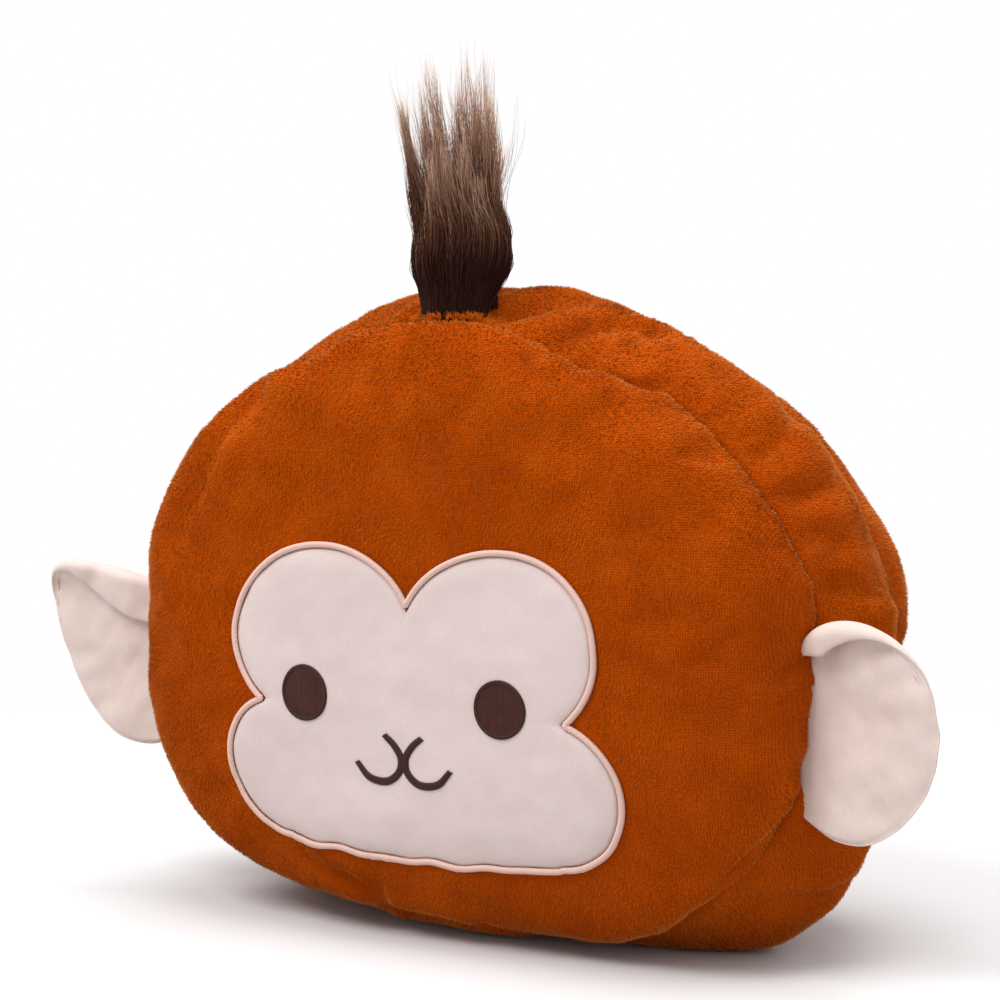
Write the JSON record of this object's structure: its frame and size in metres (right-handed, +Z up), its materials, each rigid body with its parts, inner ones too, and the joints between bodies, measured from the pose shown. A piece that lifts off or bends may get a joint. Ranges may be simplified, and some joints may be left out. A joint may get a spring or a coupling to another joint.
{
  "type": "stuffed toy pillow",
  "caption": "Plump plush pillow in the form of a monkey's head, with an embroidered face, floppy side ears and a tuft of long-pile fur on top.",
  "frame": {"origin": "on the surface it stands on, under the middle of its bounding box", "axes": "+Z up, the face looks along -Y, +X to the viewer's right when facing the face"},
  "size_m": [0.496, 0.2058, 0.4096],
  "materials": {
    "rust_plush": "short brushed plush pile",
    "rust_thread": "polyester sewing thread",
    "pale_velboa": "short smooth velboa pile",
    "ear_velboa": "short smooth velboa pile",
    "pink_satin_stitch": "satin stitch in glossy thread",
    "brown_embroidery": "fill stitch in glossy thread",
    "dark_satin_stitch": "raised satin stitch in glossy thread",
    "fur_backing": "knitted backing of fur cloth",
    "long_pile_fur": "long straight fibres with paler tips",
    "fibre_filling": "loose polyester fibre"
  },
  "bodies": {
    "head": {"front_panel": "rust_plush", "gusset": "rust_plush", "back_panel": "rust_plush", "stuffing": "fibre_filling", "front_seam_thread": "rust_thread", "back_seam_thread": "rust_thread", "gusset_join_thread": "rust_thread", "closing_seam_thread": "rust_thread", "face_patch": "pale_velboa", "face_patch_border": "pink_satin_stitch", "left_eye": "brown_embroidery", "right_eye": "brown_embroidery", "left_eye_rim": "dark_satin_stitch", "right_eye_rim": "dark_satin_stitch", "mouth_left_stroke": "brown_embroidery", "mouth_right_stroke": "brown_embroidery"},
    "left_ear": {"left_ear_front": "ear_velboa", "left_ear_padding": "fibre_filling", "left_ear_back": "ear_velboa"},
    "right_ear": {"right_ear_front": "ear_velboa", "right_ear_padding": "fibre_filling", "right_ear_back": "ear_velboa"},
    "tuft_root": {"tuft_backing": "fur_backing"},
    "tuft": {"tuft_hair": "long_pile_fur"}
  },
  "joints": [
    {"name": "left_ear_flop", "type": "hinge", "parent": "head", "child": "left_ear", "pos_m": [-0.18304, -0.04514, 0.116], "axis": [-0.04, 0, 0.9992], "range_deg": [-30, 60], "stiffness_Nm_per_rad": 0.02},
    {"name": "right_ear_flop", "type": "hinge", "parent": "head", "child": "right_ear", "pos_m": [0.18304, -0.04514, 0.116], "axis": [-0.04, 0, -0.9992], "range_deg": [-30, 60], "stiffness_Nm_per_rad": 0.02},
    {"name": "tuft_flop", "type": "hinge", "parent": "head", "child": "tuft_root", "pos_m": [0, -0.04914, 0.2966], "axis": [1, 0, 0], "range_deg": [-20, 55], "stiffness_Nm_per_rad": 0.06},
    {"name": "tuft_sway", "type": "hinge", "parent": "tuft_root", "child": "tuft", "pos_m": [0, -0.04914, 0.3036], "axis": [0, 1, 0], "range_deg": [-20, 20], "stiffness_Nm_per_rad": 0.06}
  ]
}
